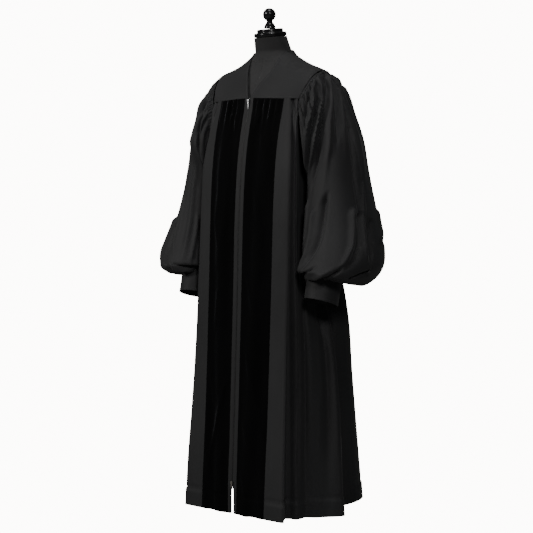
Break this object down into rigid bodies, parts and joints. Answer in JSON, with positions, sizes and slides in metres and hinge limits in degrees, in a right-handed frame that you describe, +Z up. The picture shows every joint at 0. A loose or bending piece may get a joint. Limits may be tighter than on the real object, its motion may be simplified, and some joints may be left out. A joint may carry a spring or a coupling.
{
  "type": "clergy robe on dress form",
  "caption": "Full-length black pulpit robe with a zipped front, velvet panels, gathered bishop sleeves and deep cuffs, standing on a limbless dress form with a hidden pole and a flat foot.",
  "frame": {"origin": "the middle of the stand's hub, on the floor it stands on", "axes": "+Z up, -Y the way the robe's front faces, +X the wearer's left"},
  "size_m": [0.7696, 0.4796, 1.5889],
  "materials": {
    "cloth": "matte black woven cloth",
    "velvet": "black velvet, a short pile",
    "jersey": "black jersey stretched over the form",
    "lacquer": "gloss black lacquer on turned wood",
    "zip_metal": "bright nickel plate",
    "stand_metal": "satin black paint"
  },
  "bodies": {
    "root": {"back_panel_left": "cloth", "back_panel_right": "cloth", "cuff_left": "cloth", "cuff_right": "cloth", "finial": "lacquer", "form_body": "jersey", "front_band_left": "cloth", "front_band_right": "cloth", "front_side_left": "cloth", "front_side_right": "cloth", "neck_cap": "lacquer", "sleeve_head_left": "cloth", "sleeve_head_right": "cloth", "sleeve_left": "cloth", "sleeve_right": "cloth", "stand_foot": "stand_metal", "stand_pole": "stand_metal", "velvet_panel_left": "velvet", "velvet_panel_right": "velvet", "yoke_back": "cloth", "yoke_front_left": "cloth", "yoke_front_right": "cloth", "zip_slider_bottom": "zip_metal", "zip_slider_bottom_pull": "zip_metal", "zip_slider_top": "zip_metal", "zip_slider_top_pull": "zip_metal", "zip_tape_left": "cloth", "zip_tape_right": "cloth"}
  },
  "joints": []
}
